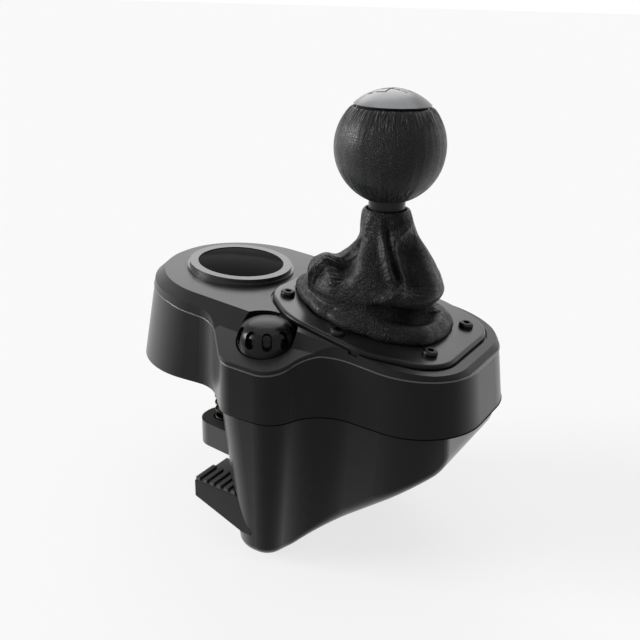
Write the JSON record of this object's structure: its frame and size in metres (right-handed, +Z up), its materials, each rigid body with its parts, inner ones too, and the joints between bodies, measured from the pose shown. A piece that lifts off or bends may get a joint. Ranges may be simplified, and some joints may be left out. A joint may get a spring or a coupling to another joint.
{
  "type": "sim racing gear shifter",
  "caption": "Desk-clamped gear shifter for racing simulators: leather ball knob on a sprung lever in a hide boot, screwed bezel, round plain emblem and screw-down clamps.",
  "frame": {"origin": "centre of the line between the two threaded inserts in the flat underside of the lobe that lies over the table", "axes": "+Z up, +Y towards the lobe with the round emblem and away from the driver, +X to the side, so the part is a mirror image of itself across X = 0"},
  "size_m": [0.1248, 0.1751, 0.2039],
  "materials": {
    "deck_plastic": "fine satin grain",
    "housing_plastic": "fine satin grain",
    "bezel_metal": "satin paint",
    "screw_steel": "blackened",
    "emblem_plastic": "polished",
    "emblem_ring_plastic": "satin",
    "leather": "grained",
    "cap_plastic": "satin",
    "knob_plastic": "polished",
    "dark_plastic": "plain",
    "pad_rubber": "matt",
    "steel": "turned",
    "brass": "turned",
    "board": "lacquered"
  },
  "bodies": {
    "housing": {"deck": "deck_plastic", "side_shell": "housing_plastic", "lower_housing": "housing_plastic", "emblem_step": "dark_plastic", "emblem_ring": "emblem_ring_plastic", "emblem_lens": "emblem_plastic", "bezel": "bezel_metal", "bezel_screws": "screw_steel", "side_sensor": "dark_plastic", "pivot_frame": "dark_plastic", "gate_plate": "steel", "centring_leaves": "steel", "circuit_board": "board", "cable_gland": "pad_rubber", "rig_inserts": "brass", "body_screws": "screw_steel", "jaw_pad_left": "pad_rubber", "jaw_pad_right": "pad_rubber", "guide_pin_left": "steel", "guide_pin_right": "steel"},
    "gimbal_ring": {"gimbal": "dark_plastic", "fore_sensor": "dark_plastic"},
    "lever": {"lever_shaft": "steel", "cross_pin": "steel", "collar": "dark_plastic", "knob_core": "dark_plastic", "knob_leather": "leather", "knob_trim": "dark_plastic", "knob_cap": "cap_plastic", "boot": "leather"},
    "arm_left": {"clamp_arm_left": "housing_plastic", "clamp_nut_left": "brass", "arm_spring_left": "screw_steel"},
    "arm_right": {"clamp_arm_right": "housing_plastic", "clamp_nut_right": "brass", "arm_spring_right": "screw_steel"},
    "knob_left": {"clamp_knob_left": "knob_plastic", "clamp_rod_left": "steel"},
    "knob_right": {"clamp_knob_right": "knob_plastic", "clamp_rod_right": "steel"}
  },
  "joints": [
    {"name": "lever_side", "type": "hinge", "parent": "housing", "child": "gimbal_ring", "pos_m": [0, -0.0766, 0.008], "axis": [0, 1, 0], "range_deg": [-8, 8], "stiffness_Nm_per_rad": 1.6},
    {"name": "lever_fore", "type": "hinge", "parent": "gimbal_ring", "child": "lever", "pos_m": [0, -0.0766, 0.008], "axis": [1, 0, 0], "range_deg": [-14, 14], "deforming": ["boot"]},
    {"name": "arm_left_slide", "type": "slide", "parent": "housing", "child": "arm_left", "axis": [0, 0, 1], "range_m": [-0.01, 0.012], "deforming": ["arm_spring_left"]},
    {"name": "arm_right_slide", "type": "slide", "parent": "housing", "child": "arm_right", "axis": [0, 0, 1], "range_m": [-0.01, 0.012], "deforming": ["arm_spring_right"]},
    {"name": "knob_left_turn", "type": "hinge", "parent": "housing", "child": "knob_left", "pos_m": [0.0442, -0.047, 0], "axis": [0, 0, 1], "range_deg": [-1440, 1728]},
    {"name": "knob_right_turn", "type": "hinge", "parent": "housing", "child": "knob_right", "pos_m": [-0.0442, -0.047, 0], "axis": [0, 0, 1], "range_deg": [-1440, 1728]}
  ],
  "couplings": [
    {"joint": "knob_left_turn", "follows": "arm_left_slide", "rad_per_m": 2513.3},
    {"joint": "knob_right_turn", "follows": "arm_right_slide", "rad_per_m": 2513.3}
  ]
}
